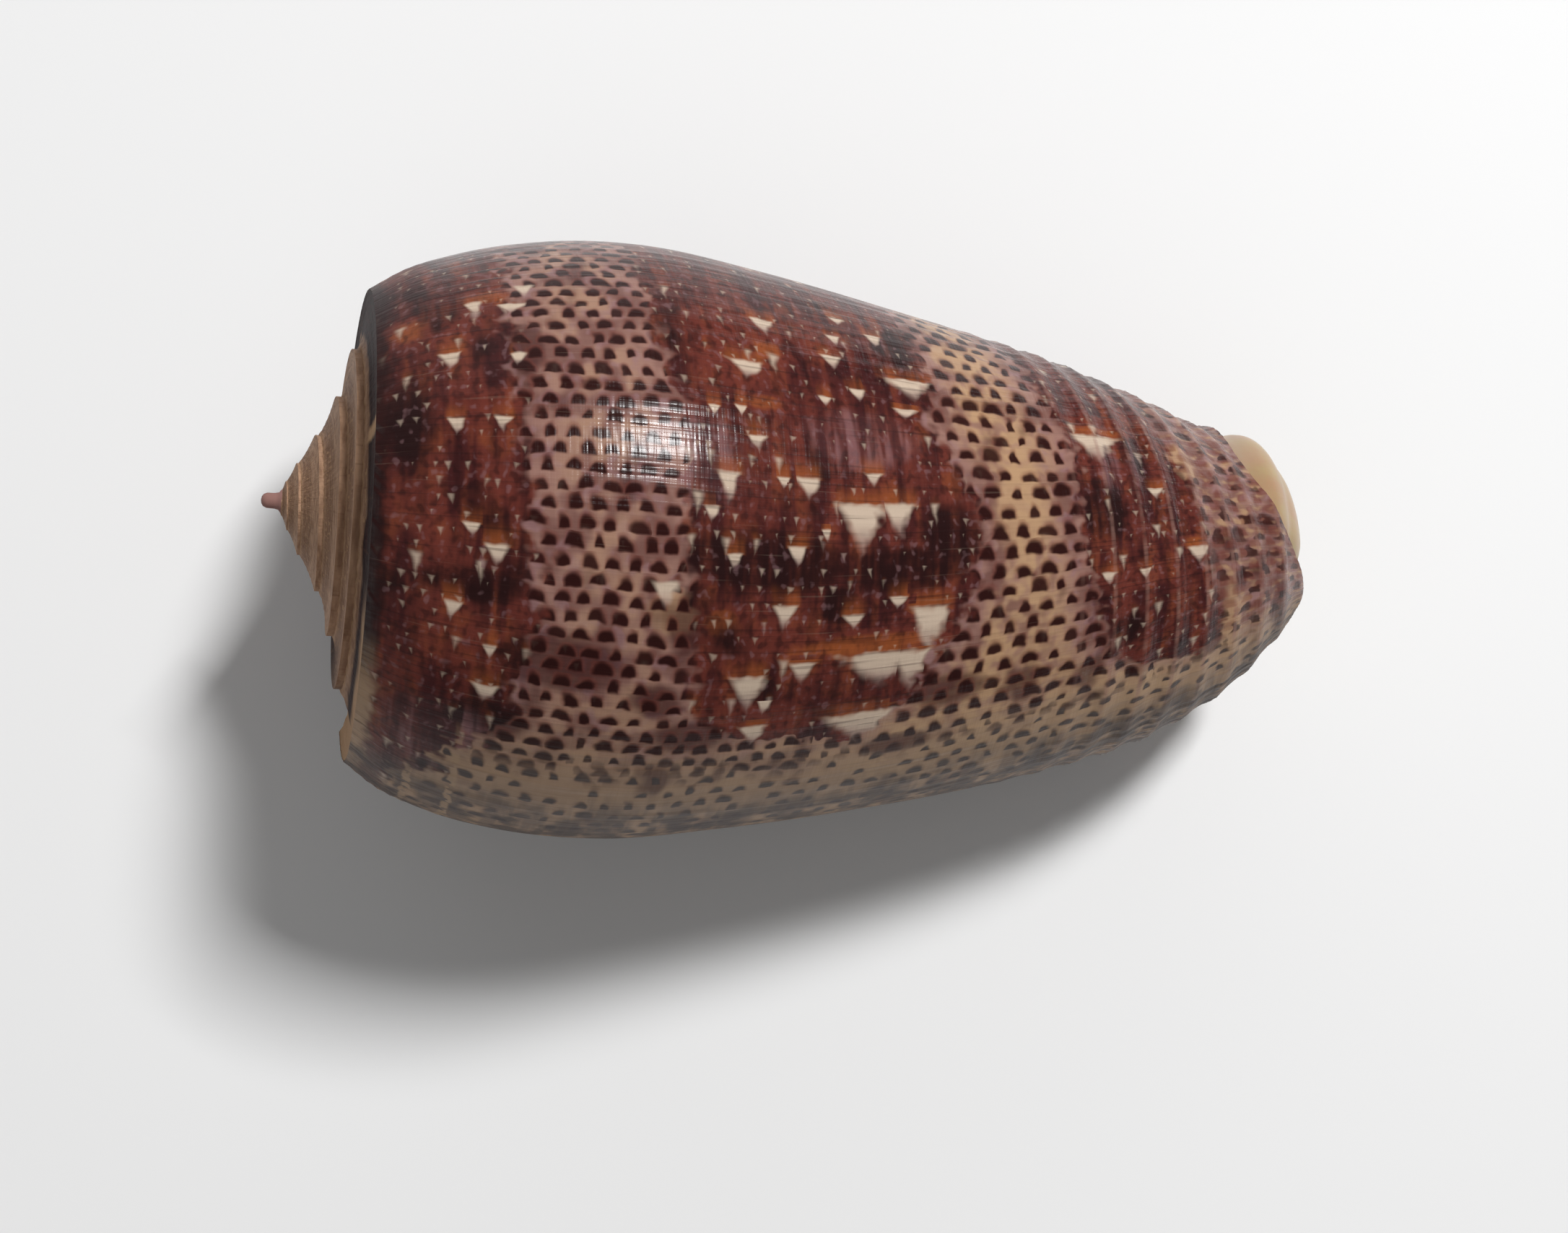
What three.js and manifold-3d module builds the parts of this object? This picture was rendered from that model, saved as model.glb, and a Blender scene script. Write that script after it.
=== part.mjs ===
// Cone shell lying on its aperture, spire towards -X, in millimetres, +Z up.
// The shell is grown, so every surface follows one growth law: a place on it is
// given by its distance along the coiling axis and by its age in turns, where
// the lip is 0 and one whorl earlier is -1.
import * as THREE from "three";
import { mergeVertices } from "three/addons/utils/BufferGeometryUtils.js";
import Module from "manifold-3d";

const wasm = await Module();
wasm.setup();

// Driving dimensions
const SHELL_LENGTH = 57.7;
const SHOULDER_RADII = [14.0, 10.0, 7.15, 4.8, 2.9, 1.6, 0.8, 0.4];
const SPIRE_PROFILE = [
  [0, 0.6], [0.4, 0.9], [1.1, 1.2], [1.9, 1.6], [2.9, 2.1], [3.8, 2.65],
  [5.7, 3.45], [7.6, 3.95], [10, 4.4], [14.3, 5.2], [18, 5.6],
];
const BODY_PROFILE = [
  [0, 14.0], [0.03, 15.2], [0.08, 16.3], [0.16, 17.2], [0.26, 17.4], [0.38, 16.6],
  [0.5, 15.5], [0.62, 14.1], [0.74, 12.2], [0.85, 9.9], [0.93, 7.1], [1, 3.3],
];
const BODY_GROWTH = [[0, 1.4], [0.2, 1.28], [0.6, 1.3], [1, 1.3]];
const THREAD_GROWTH = 1.25;

// Spire
const NUB_RADIUS = 0.4;
const NUB_LENGTH = 1.3;
const SUTURE_STEP = 0.38;
const SUTURE_STEP_PER_RADIUS = 0.06;
const SHELF_DIP = 0.22;
const CHANNEL_DIP = 0.35;
const CHANNEL_START_TURN = -0.3;
const SPIRE_TURNS = 4;
const APEX_RADIUS = 2.4;
const SPIRE_COLUMNS = 28;
const COIL_ROWS = 3;
const SUTURE_GAP = 0.06;
const FILL_RADIUS = 6.8;
const FILL_DEPTH = 0.75;
const FILL_START_ANGLE = 0.07;
const CORE_START = 5.3;
const COIL_OVERLAP = 0.4;

// Wall of the last whorl
const WALL = 1.3;
const SEAM_INSET = 0.04;
const LIP_THICKNESS = 0.45;
const LIP_TAPER_TURNS = 0.07;
const WALL_START = -1.04;
const SEAM_END = -0.96;
const WALL_COLUMNS = 42;
const SHELF_ROWS = [0, 0.35, 0.7, 0.93];
const SHOULDER_SHARES = [0, 0.012, 0.045, 0.1, 0.18, 0.28, 0.4, 0.52];
const SUTURE_OVERLAP = 0.9;
const SINUS_TURNS = 0.05;
const SINUS_SHARE = 0.1;
const CANAL_TURNS = 0.1;
const CANAL_SHARES = [0.84, 1.02];

// Cords near the canal
const CORD_COUNT = 9;
const CORD_START = 41.0;
const CORD_PITCH = 2.19;
const CORD_HEIGHT = 0.24;
const ROW_GAP = 0.1;

// Far end of the wall and the columella that shows past it
const MARGIN_FULL = 57.6;
const MARGIN_OLD = 52.2;
const MARGIN_TURNS = [-0.53, -0.33];
const FLARE_TURN = -0.64;
const FLARE_TURN_WIDTH = 0.24;
const FLARE_SHARE = 0.965;
const FLARE_SHARE_WIDTH = 0.065;
const FLARE_HEIGHT = 2.7;
const CORE_END = 57.9;
const CORE_RIM = 57.5;
const CORE_COLUMNS = 28;
const CALLUS_GAP = 0.4;
const CALLUS_TURNS = [-1.12, -0.3];
const CALLUS_COLUMNS = 18;
const CALLUS_INNER_RADIUS = 0.6;
const CALLUS_REACH = 55.6;
const CALLUS_TAPER = 0.45;
const CALLUS_TAPER_SHARE = 0.18;
const CALLUS_PROFILE = [[47, 0.8], [50, 0.93], [53, 1], [55.6, 1], [56.6, 0.84], [57.3, 0.62], [57.8, 0.3]];

// Rest pose on the lip and the body, found from the centre of mass
const REST_ROLL = THREE.MathUtils.degToRad(53.35);
const REST_PITCH = THREE.MathUtils.degToRad(8.54);

// Smooth curve through hand-set stations
function curve(stations, x) {
  const last = stations.length - 1;
  const held = Math.min(Math.max(x, stations[0][0]), stations[last][0]);
  let i = 0;
  while (i < last - 1 && held >= stations[i + 1][0]) i += 1;
  const rise = (k) => (stations[k + 1][1] - stations[k][1]) / (stations[k + 1][0] - stations[k][0]);
  const slope = (k) => {
    if (k === 0) return rise(0);
    if (k === last) return rise(last - 1);
    const before = stations[k][0] - stations[k - 1][0];
    const after = stations[k + 1][0] - stations[k][0];
    return (rise(k) * before + rise(k - 1) * after) / (before + after);
  };
  const span = stations[i + 1][0] - stations[i][0];
  const u = (held - stations[i][0]) / span;
  const start = (2 * u ** 3 - 3 * u ** 2 + 1) * stations[i][1] + (u ** 3 - 2 * u ** 2 + u) * span * slope(i);
  const end = (3 * u ** 2 - 2 * u ** 3) * stations[i + 1][1] + (u ** 3 - u ** 2) * span * slope(i + 1);
  return start + end;
}

const mix = (from, to, share) => from + (to - from) * share;
const bell = (x, centre, width) => Math.exp(-(((x - centre) / width) ** 2));
const shoulderStations = SHOULDER_RADII.map((radius, turn) => [-turn, radius]).reverse();

// Growth law
const shoulderRadius = (turn) => curve(shoulderStations, turn);
const shoulderPlace = (turn) => curve(SPIRE_PROFILE, shoulderRadius(turn));
const sutureStep = (turn) => Math.min(SUTURE_STEP, SUTURE_STEP_PER_RADIUS * shoulderRadius(turn - 1));

function bodyRadius(place, turn) {
  const start = shoulderPlace(turn);
  const share = (place - start) / (SHELL_LENGTH - start);
  const grown = curve(BODY_PROFILE, share) * curve(BODY_GROWTH, share) ** turn;
  const flare = bell(turn, FLARE_TURN, FLARE_TURN_WIDTH) * bell(share, FLARE_SHARE, FLARE_SHARE_WIDTH);
  return grown + FLARE_HEIGHT * flare;
}

function shelfPoint(share, turn) {
  const suture = shoulderPlace(turn - 1) + sutureStep(turn);
  const channel = CHANNEL_DIP * THREE.MathUtils.smoothstep(turn, CHANNEL_START_TURN, 0);
  const dip = (SHELF_DIP * shoulderRadius(turn)) / SHOULDER_RADII[0] + channel;
  return {
    place: mix(suture, shoulderPlace(turn), share) + dip * Math.sin(Math.PI * share),
    radius: mix(shoulderRadius(turn - 1), shoulderRadius(turn), share),
  };
}

function atTurn(point, turn) {
  const angle = 2 * Math.PI * turn;
  return new THREE.Vector3(point.place, -point.radius * Math.cos(angle), -point.radius * Math.sin(angle));
}

// Closed solid from a three.js geometry whose seams coincide
function toSolid(geometry) {
  geometry.deleteAttribute("normal");
  geometry.deleteAttribute("uv");
  const welded = mergeVertices(geometry, 1e-5);
  const corners = [];
  const index = welded.getIndex().array;
  for (let i = 0; i < index.length; i += 3) {
    const [a, b, c] = [index[i], index[i + 1], index[i + 2]];
    if (a !== b && b !== c && c !== a) corners.push(a, b, c);
  }
  const vertProperties = new Float32Array(welded.getAttribute("position").array);
  return new wasm.Manifold(new wasm.Mesh({ numProp: 3, vertProperties, triVerts: new Uint32Array(corners) }));
}

// One whorl as a full solid: a lathe whose radius grows along the turn, with an
// extra column that closes the step between its end and its start
function whorlSolid(firstTurn, columns, rows, pointAt) {
  const outline = Array.from({ length: rows }, (_, row) => new THREE.Vector2(1, row));
  const geometry = new THREE.LatheGeometry(outline, columns + 1);
  const position = geometry.getAttribute("position");
  for (let column = 0; column <= columns + 1; column += 1) {
    const share = column > columns ? 0 : column / columns;
    const turn = firstTurn + share;
    for (let row = 0; row < rows; row += 1) {
      const spot = atTurn(pointAt(row, turn), column > columns ? firstTurn : turn);
      position.setXYZ(column * rows + row, spot.x, spot.y, spot.z);
    }
  }
  return toSolid(geometry);
}

// Older whorls of the spire as one coil, its turns set side by side
function spireCoil() {
  const columns = SPIRE_TURNS * SPIRE_COLUMNS;
  const geometry = new THREE.BoxGeometry(1, 1, 1, columns, COIL_ROWS, 1);
  const position = geometry.getAttribute("position");
  for (let i = 0; i < position.count; i += 1) {
    const turn = mix(-1 - SPIRE_TURNS, -1, position.getX(i) + 0.5);
    const { place, radius } = shelfPoint(position.getY(i) + 0.5, turn);
    const deep = position.getZ(i) > 0 ? place : CORE_START + COIL_OVERLAP;
    const gap = position.getY(i) < -0.49 ? SUTURE_GAP : 0;
    const spot = atTurn({ place: deep, radius: radius + gap }, turn);
    position.setXYZ(i, spot.x, spot.y, spot.z);
  }
  return toSolid(geometry);
}

// Solid of revolution about the coiling axis from [radius, place] corners
function turned(outline, columns) {
  const corners = outline.map(([radius, place]) => new THREE.Vector2(radius, place));
  const geometry = new THREE.LatheGeometry(corners, columns, FILL_START_ANGLE);
  geometry.rotateZ(-Math.PI / 2);
  return toSolid(geometry);
}

// Body under the coil, whose tip stands for the smallest whorls
function apexSolid() {
  const tip = SPIRE_PROFILE.filter(([radius]) => radius < APEX_RADIUS);
  const below = SPIRE_PROFILE.filter(([radius]) => radius > APEX_RADIUS && radius < FILL_RADIUS);
  const outline = [
    ...tip,
    ...below.map(([radius, place]) => [radius, place + FILL_DEPTH]),
    [FILL_RADIUS, curve(SPIRE_PROFILE, FILL_RADIUS) + FILL_DEPTH],
    [FILL_RADIUS, CORE_START + COIL_OVERLAP],
    [0, CORE_START + COIL_OVERLAP],
  ];
  return turned(outline, SPIRE_COLUMNS);
}

// Inner whorls as one body, whose surface is the near side of the aperture
function coreSolid() {
  const shares = [0, 0.06, 0.14, 0.24, 0.34, 0.46, 0.58, 0.7, 0.8, 0.88, 0.95, 1];
  const pointAt = (row, turn) => {
    if (row === 0) return { place: CORE_START, radius: 0 };
    const share = shares[row - 1];
    if (share === undefined) return { place: CORE_END, radius: 0 };
    const place = mix(CORE_START, CORE_RIM, share);
    return { place, radius: bodyRadius(place, turn) };
  };
  return whorlSolid(-2, CORE_COLUMNS, shares.length + 2, pointAt);
}

// Where the last whorl's wall stops, at the lip and at its far end
function lipTurn(row, share) {
  if (row < SHELF_ROWS.length + 1) return -SINUS_TURNS;
  if (share < SINUS_SHARE) return -SINUS_TURNS * (1 - share / SINUS_SHARE) ** 2;
  return -CANAL_TURNS * THREE.MathUtils.smoothstep(share, CANAL_SHARES[0], CANAL_SHARES[1]);
}

const marginPlace = (turn) => mix(
  MARGIN_OLD, MARGIN_FULL, THREE.MathUtils.smoothstep(turn, MARGIN_TURNS[0], MARGIN_TURNS[1]),
);

// Rows of the wall, from the suture over the shelf and down the side; the last
// ones run along the cords, every second one on a crest
const cordRows = Array.from({ length: 2 * CORD_COUNT + 1 }, (_, i) => CORD_START + (i * CORD_PITCH) / 2);
const sideRows = SHOULDER_SHARES.length;
const rowTotal = 1 + SHELF_ROWS.length + sideRows + cordRows.length;

function wallPoint(row, turn) {
  if (row === 0) {
    const suture = shelfPoint(0, turn);
    return { place: suture.place, radius: suture.radius - SUTURE_OVERLAP };
  }
  if (row <= SHELF_ROWS.length) return shelfPoint(SHELF_ROWS[row - 1], turn);
  const side = row - 1 - SHELF_ROWS.length;
  const start = shoulderPlace(turn);
  if (side < sideRows) {
    const place = mix(start, SHELL_LENGTH, SHOULDER_SHARES[side]);
    return { place, radius: bodyRadius(place, turn) };
  }
  const cord = side - sideRows;
  const along = cordRows[cord] * THREAD_GROWTH ** turn;
  const limit = marginPlace(turn) - ROW_GAP * (cordRows.length - 1 - cord);
  const place = cord === cordRows.length - 1 ? limit : Math.min(along, limit);
  const crest = cord % 2 === 1 && along < limit ? CORD_HEIGHT : 0;
  return { place, radius: bodyRadius(place, turn) + crest };
}

// The wall as a bent slab: along the turn, down the side and through the shell
function wallSolid() {
  const geometry = new THREE.BoxGeometry(1, 1, 1, WALL_COLUMNS, rowTotal - 1, 1);
  const position = geometry.getAttribute("position");
  for (let i = 0; i < position.count; i += 1) {
    const along = position.getX(i) + 0.5;
    const row = Math.round((position.getY(i) + 0.5) * (rowTotal - 1));
    const outside = position.getZ(i) > 0;
    const share = row <= SHELF_ROWS.length ? 0 : (wallPoint(row, 0).place - shoulderPlace(0)) / SHELL_LENGTH;
    const turn = mix(WALL_START, lipTurn(row, share), along);
    const point = wallPoint(row, turn);
    const inset = SEAM_INSET * (1 - THREE.MathUtils.smoothstep(turn, WALL_START, SEAM_END));
    let depth = inset;
    if (!outside) {
      const fade = THREE.MathUtils.smoothstep(along, 1 - LIP_TAPER_TURNS, 1);
      depth = mix(WALL, LIP_THICKNESS, fade);
    }
    const before = wallPoint(Math.max(row - 1, 0), turn);
    const after = wallPoint(Math.min(row + 1, rowTotal - 1), turn);
    const direction = new THREE.Vector2(after.place - before.place, after.radius - before.radius).normalize();
    const spot = atTurn({
      place: point.place + depth * direction.y,
      radius: point.radius - depth * direction.x,
    }, turn);
    position.setXYZ(i, spot.x, spot.y, spot.z);
  }
  return toSolid(geometry);
}

// End of the columella, which fills the old canal and shows past the wall
function callusSolid() {
  const rows = CALLUS_PROFILE.length;
  const geometry = new THREE.BoxGeometry(1, 1, 1, CALLUS_COLUMNS, rows - 1, 1);
  const position = geometry.getAttribute("position");
  for (let i = 0; i < position.count; i += 1) {
    const along = position.getX(i) + 0.5;
    const row = Math.round((position.getY(i) + 0.5) * (rows - 1));
    const turn = mix(CALLUS_TURNS[0], CALLUS_TURNS[1], along);
    const [place, share] = CALLUS_PROFILE[row];
    const surface = bodyRadius(Math.min(place, CALLUS_REACH), turn) - CALLUS_GAP;
    const taper = mix(CALLUS_TAPER, 1, THREE.MathUtils.smoothstep(1 - along, 0, CALLUS_TAPER_SHARE));
    const radius = position.getZ(i) > 0 ? surface * share * taper : CALLUS_INNER_RADIUS;
    const spot = atTurn({ place, radius }, turn);
    position.setXYZ(i, spot.x, spot.y, spot.z);
  }
  return toSolid(geometry);
}

function nubSolid() {
  const geometry = new THREE.CapsuleGeometry(NUB_RADIUS, NUB_LENGTH - 2 * NUB_RADIUS, 3, 10);
  geometry.rotateZ(Math.PI / 2);
  geometry.translate(NUB_LENGTH / 2, 0, 0);
  return toSolid(geometry);
}

// Joins the solids, then lays the shell down in its rest pose on z = 0
function shellGeometry() {
  const spire = apexSolid().add(spireCoil()).add(nubSolid());
  const solid = coreSolid().add(spire).add(wallSolid()).add(callusSolid());
  const mesh = solid.getMesh();
  const geometry = new THREE.BufferGeometry();
  geometry.setAttribute("position", new THREE.BufferAttribute(new Float32Array(mesh.vertProperties), 3));
  geometry.setIndex(new THREE.BufferAttribute(new Uint32Array(mesh.triVerts), 1));
  geometry.rotateX(REST_ROLL);
  geometry.rotateY(REST_PITCH);
  geometry.computeBoundingBox();
  const { min, max } = geometry.boundingBox;
  geometry.translate(-(min.x + max.x) / 2, -(min.y + max.y) / 2, -min.z);
  geometry.computeVertexNormals();
  return geometry;
}

const shell = new THREE.Mesh(
  shellGeometry(),
  new THREE.MeshStandardMaterial({ name: "shell_porcelain", color: 0x8a5a48, roughness: 0.25, metalness: 0 }),
);
shell.name = "shell";

const group = new THREE.Group();
group.name = "cone_shell";
group.add(shell);

export default group;
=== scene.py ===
# Cone shell: its fine mesh, its materials and the studio, in metres.
# A place on the shell is given as in the part's source: the distance along the
# coiling axis in millimetres, and the age in turns, where the lip is 0. A thread
# is a spiral line on the last whorl, named by its distance along the axis at the lip.
import math
from types import SimpleNamespace

import bmesh
import bpy
import numpy as np
from mathutils import Matrix, Vector


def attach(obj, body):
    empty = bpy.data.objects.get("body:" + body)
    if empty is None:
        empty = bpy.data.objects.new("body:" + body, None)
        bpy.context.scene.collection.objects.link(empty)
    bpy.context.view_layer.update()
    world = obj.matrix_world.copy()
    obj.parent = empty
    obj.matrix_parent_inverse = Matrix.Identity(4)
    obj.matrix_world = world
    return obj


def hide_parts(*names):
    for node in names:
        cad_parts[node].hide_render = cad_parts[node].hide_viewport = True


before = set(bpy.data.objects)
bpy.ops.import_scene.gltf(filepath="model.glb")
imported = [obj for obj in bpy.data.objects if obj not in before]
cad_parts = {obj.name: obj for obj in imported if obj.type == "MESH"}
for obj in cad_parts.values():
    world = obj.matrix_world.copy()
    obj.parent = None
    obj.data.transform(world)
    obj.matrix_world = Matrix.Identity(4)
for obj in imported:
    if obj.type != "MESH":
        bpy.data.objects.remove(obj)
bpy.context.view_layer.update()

MM = 0.001

# Growth law, the same sizes as the part's
SHELL_LENGTH = 57.7
SHOULDER_RADII = [14.0, 10.0, 7.15, 4.8, 2.9, 1.6, 0.8, 0.4]
SPIRE_PROFILE = [
    (0, 0.6), (0.4, 0.9), (1.1, 1.2), (1.9, 1.6), (2.9, 2.1), (3.8, 2.65),
    (5.7, 3.45), (7.6, 3.95), (10, 4.4), (14.3, 5.2), (18, 5.6),
]
BODY_PROFILE = [
    (0, 14.0), (0.03, 15.2), (0.08, 16.3), (0.16, 17.2), (0.26, 17.4), (0.38, 16.6),
    (0.5, 15.5), (0.62, 14.1), (0.74, 12.2), (0.85, 9.9), (0.93, 7.1), (1, 3.3),
]
BODY_GROWTH = [(0, 1.4), (0.2, 1.28), (0.6, 1.3), (1, 1.3)]
THREAD_GROWTH = 1.25
SUTURE_STEP = 0.38
SUTURE_STEP_PER_RADIUS = 0.06
SHELF_DIP = 0.22
CHANNEL_DIP = 0.35
CHANNEL_TURNS = (-0.3, 0)
MARGIN_FULL = 57.6
MARGIN_OLD = 52.2
MARGIN_TURNS = (-0.53, -0.33)
FLARE_TURN = -0.64
FLARE_TURN_WIDTH = 0.24
FLARE_SHARE = 0.965
FLARE_SHARE_WIDTH = 0.065
FLARE_HEIGHT = 2.7
CALLUS_PROFILE = [(47, 0.8), (50, 0.93), (53, 1), (55.6, 1), (56.6, 0.84), (57.3, 0.62), (57.8, 0.3)]

# How the shell lies, and where its tip is in the part's frame
REST_ROLL = math.radians(53.35)
REST_PITCH = math.radians(8.54)
TIP = (-28.709, 0.9146, 16.954)
TO_ROW = (
    Matrix.Translation(Vector(TIP))
    @ Matrix.Rotation(REST_PITCH, 4, "Y")
    @ Matrix.Rotation(REST_ROLL, 4, "X")
)

# Lip and wall
WALL = 1.3
LIP_THICKNESS = 0.4
LIP_TAPER = 0.07
WALL_START = -1.03
SINUS_TURNS = 0.05
SINUS_START = 5.2
SINUS_REACH = 5.5
CANAL_TURNS = 0.08
CANAL_START = 22.0


def curve(stations, x):
    """Smooth curve through the given stations."""
    xs, ys = np.array(stations, float).T
    span = np.diff(xs)
    rise = np.diff(ys) / span
    slope = np.empty_like(ys)
    slope[1:-1] = (rise[1:] * span[:-1] + rise[:-1] * span[1:]) / (span[:-1] + span[1:])
    slope[0] = rise[0]
    slope[-1] = rise[-1]
    x = np.clip(x, xs[0], xs[-1])
    i = np.clip(np.searchsorted(xs, x, side="right") - 1, 0, len(span) - 1)
    u = (x - xs[i]) / span[i]
    start = (2 * u**3 - 3 * u**2 + 1) * ys[i] + (u**3 - 2 * u**2 + u) * span[i] * slope[i]
    end = (3 * u**2 - 2 * u**3) * ys[i + 1] + (u**3 - u**2) * span[i] * slope[i + 1]
    return start + end


def mix(a, b, share):
    return a + (b - a) * share


def smooth(x, low, high):
    x = np.clip((x - low) / (high - low), 0, 1)
    return x * x * (3 - 2 * x)


def bell(x, centre, width):
    return np.exp(-(((x - centre) / width) ** 2))


SHOULDER_STATIONS = [(-turn, radius) for turn, radius in enumerate(SHOULDER_RADII)][::-1]


def shoulder_radius(turn):
    return curve(SHOULDER_STATIONS, turn)


def shoulder_place(turn):
    return curve(SPIRE_PROFILE, shoulder_radius(turn))


def suture_place(turn):
    step = np.minimum(SUTURE_STEP, SUTURE_STEP_PER_RADIUS * shoulder_radius(turn - 1))
    return shoulder_place(turn - 1) + step


def margin_place(turn):
    return mix(MARGIN_OLD, MARGIN_FULL, smooth(turn, *MARGIN_TURNS))


def body_radius(place, turn):
    start = shoulder_place(turn)
    share = (place - start) / (SHELL_LENGTH - start)
    grown = curve(BODY_PROFILE, share) * curve(BODY_GROWTH, share) ** turn
    flare = bell(turn, FLARE_TURN, FLARE_TURN_WIDTH) * bell(share, FLARE_SHARE, FLARE_SHARE_WIDTH)
    return grown + FLARE_HEIGHT * flare


def shelf_place(share, turn):
    channel = CHANNEL_DIP * smooth(turn, *CHANNEL_TURNS)
    dip = SHELF_DIP * shoulder_radius(turn) / SHOULDER_RADII[0] + channel
    held = np.clip(share, 0, 1)
    return mix(suture_place(turn), shoulder_place(turn), held) + dip * np.sin(np.pi * held)


def growth_lag(place):
    """Turns by which a growth line trails behind its foremost stretch."""
    return CANAL_TURNS * np.clip((place - CANAL_START) / (SHELL_LENGTH - CANAL_START), 0, 1) ** 2


def lip_lag(place):
    """The same at the lip, which also has a notch next to the spire."""
    return growth_lag(place) + SINUS_TURNS * np.clip(1 - (place - SINUS_START) / SINUS_REACH, 0, 1) ** 2


# Relief that the mesh itself carries, in millimetres
CORD_PITCH = 2.19
CORD_FIRST = 41.0
CORD_FADE_START = CORD_FIRST - 3
CORD_FADE_END = CORD_FIRST + 8
CORD_HEIGHT = 0.2
CORD_POWER = 1.6
THREAD_HEIGHT = 0.07
THREAD_POWER = 1.5
LIP_LINE_HEIGHT = 0.045
LIP_LINE_LEAST = 0.25
LIP_LINE_TURNS = (-0.22, -0.02)

# Weight, number in a turn and phase of the growth lines
LIP_LINES = [(1.0, 71, 0.0), (0.7, 113, 1.3)]

# How far the whorl's mean surface lies inside the part's, to leave room for the relief
SINK = 0.1


def cord_relief(thread):
    fade = smooth(thread, CORD_FADE_START, CORD_FADE_END)
    phase = (thread - CORD_FIRST) / CORD_PITCH
    cord = np.abs(np.cos(np.pi * (phase - 0.5))) ** CORD_POWER
    fine = np.abs(np.cos(2 * np.pi * phase)) ** THREAD_POWER
    return fade * (CORD_HEIGHT * cord + THREAD_HEIGHT * fine)


def growth_relief(age):
    lines = sum(weight * np.sin(2 * np.pi * age * count + phase) for weight, count, phase in LIP_LINES)
    return LIP_LINE_HEIGHT * lines * mix(LIP_LINE_LEAST, 1, smooth(age, *LIP_LINE_TURNS))


def to_row(place, radius, turn):
    """Row-frame points in metres of shell coordinates in millimetres."""
    angle = 2 * np.pi * turn
    local = [place, -radius * np.cos(angle), -radius * np.sin(angle), np.ones_like(place)]
    return (np.stack(local, axis=-1) @ np.array(TO_ROW).T)[:, :3] * MM


# Meshes
SHARP_ANGLE = math.radians(55)
MERGE_DISTANCE = 0.001

# The UV map holds threads and places in units of this many millimetres
UV_SCALE = 100


def mesh_from(name, bm):
    mesh = bpy.data.meshes.new(name)
    bm.to_mesh(mesh)
    bm.free()
    return mesh


def placed(name, data):
    made = bpy.data.objects.new(name, data)
    bpy.context.scene.collection.objects.link(made)
    return made


def corners_of(mesh):
    """Vertex at each corner of each face."""
    corners = np.empty(len(mesh.loops), int)
    mesh.loops.foreach_get("vertex_index", corners)
    return corners


def add_map(mesh, name, values):
    layer = mesh.uv_layers.new(name=name)
    layer.data.foreach_set("uv", values.ravel())


def finished(name, mesh):
    mesh.update()
    mesh.polygons.foreach_set("use_smooth", np.ones(len(mesh.polygons), bool))
    mesh.set_sharp_from_angle(angle=SHARP_ANGLE)
    return placed(name, mesh)


def slab(name, along, across, shape):
    """Closed bent slab. shape takes the shares along and across and the side
    (0 outside, 1 inside) and returns place, radius, turn, and the two UVs."""
    bm = bmesh.new()
    bmesh.ops.create_grid(bm, x_segments=along, y_segments=across, size=1)
    skin = bmesh.ops.extrude_face_region(bm, geom=bm.faces[:], use_keep_orig=True)
    moved = [item for item in skin["geom"] if isinstance(item, bmesh.types.BMVert)]
    bmesh.ops.translate(bm, verts=moved, vec=(0, 0, -1))
    bmesh.ops.recalc_face_normals(bm, faces=bm.faces[:])
    mesh = mesh_from(name, bm)
    flat = np.empty(len(mesh.vertices) * 3)
    mesh.vertices.foreach_get("co", flat)
    flat = flat.reshape(-1, 3)
    place, radius, turn, first, second = shape((flat[:, 0] + 1) / 2, (flat[:, 1] + 1) / 2, -flat[:, 2])
    mesh.vertices.foreach_set("co", to_row(place, radius, turn).ravel())
    add_map(mesh, "growth", np.stack([first, second], axis=-1)[corners_of(mesh)])
    return finished(name, mesh), flat, first, second


def assign(piece, surfaces, choose):
    """Gives each four-cornered face the surface that choose picks by its corners."""
    mesh = piece.data
    for surface in surfaces:
        mesh.materials.append(surface)
    quads = corners_of(mesh).reshape(-1, 4)
    mesh.polygons.foreach_set("material_index", choose(quads).astype(int))


# Last whorl: the shelf next to the spire and the body, as one bent wall
WALL_ALONG = 360
SHELF_ACROSS = 18
BODY_ACROSS = 112
SHELF_OVERLAP = 0.12
ROW_CROWDING = 0.35
SLOPE_REACH = 0.2
SHOULDER_BLEND = 0.06
SHOULDER_THICKNESS = 0.6
LEAST_RADIUS = 0.4
STRIA_HEIGHT = 0.022
STRIAE_ON_SHELF = 5.5
BEAD_HEIGHT = 0.06
BEADS_PER_TURN = 58
BEAD_DRIFT = 2
BEAD_DRIFTS_PER_TURN = 7
BEAD_PLACE = 0.04
BEAD_WIDTH = 0.07


def shelf_relief(share, turn):
    """Spiral threads over the shelf and the beads next to the suture."""
    threads = STRIA_HEIGHT * np.sin(2 * np.pi * share * STRIAE_ON_SHELF)
    drift = BEAD_DRIFT * np.sin(2 * np.pi * turn * BEAD_DRIFTS_PER_TURN)
    bead = 0.5 + 0.5 * np.sin(2 * np.pi * turn * BEADS_PER_TURN + drift)
    return threads + BEAD_HEIGHT * bead * bell(share, BEAD_PLACE, BEAD_WIDTH)


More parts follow.
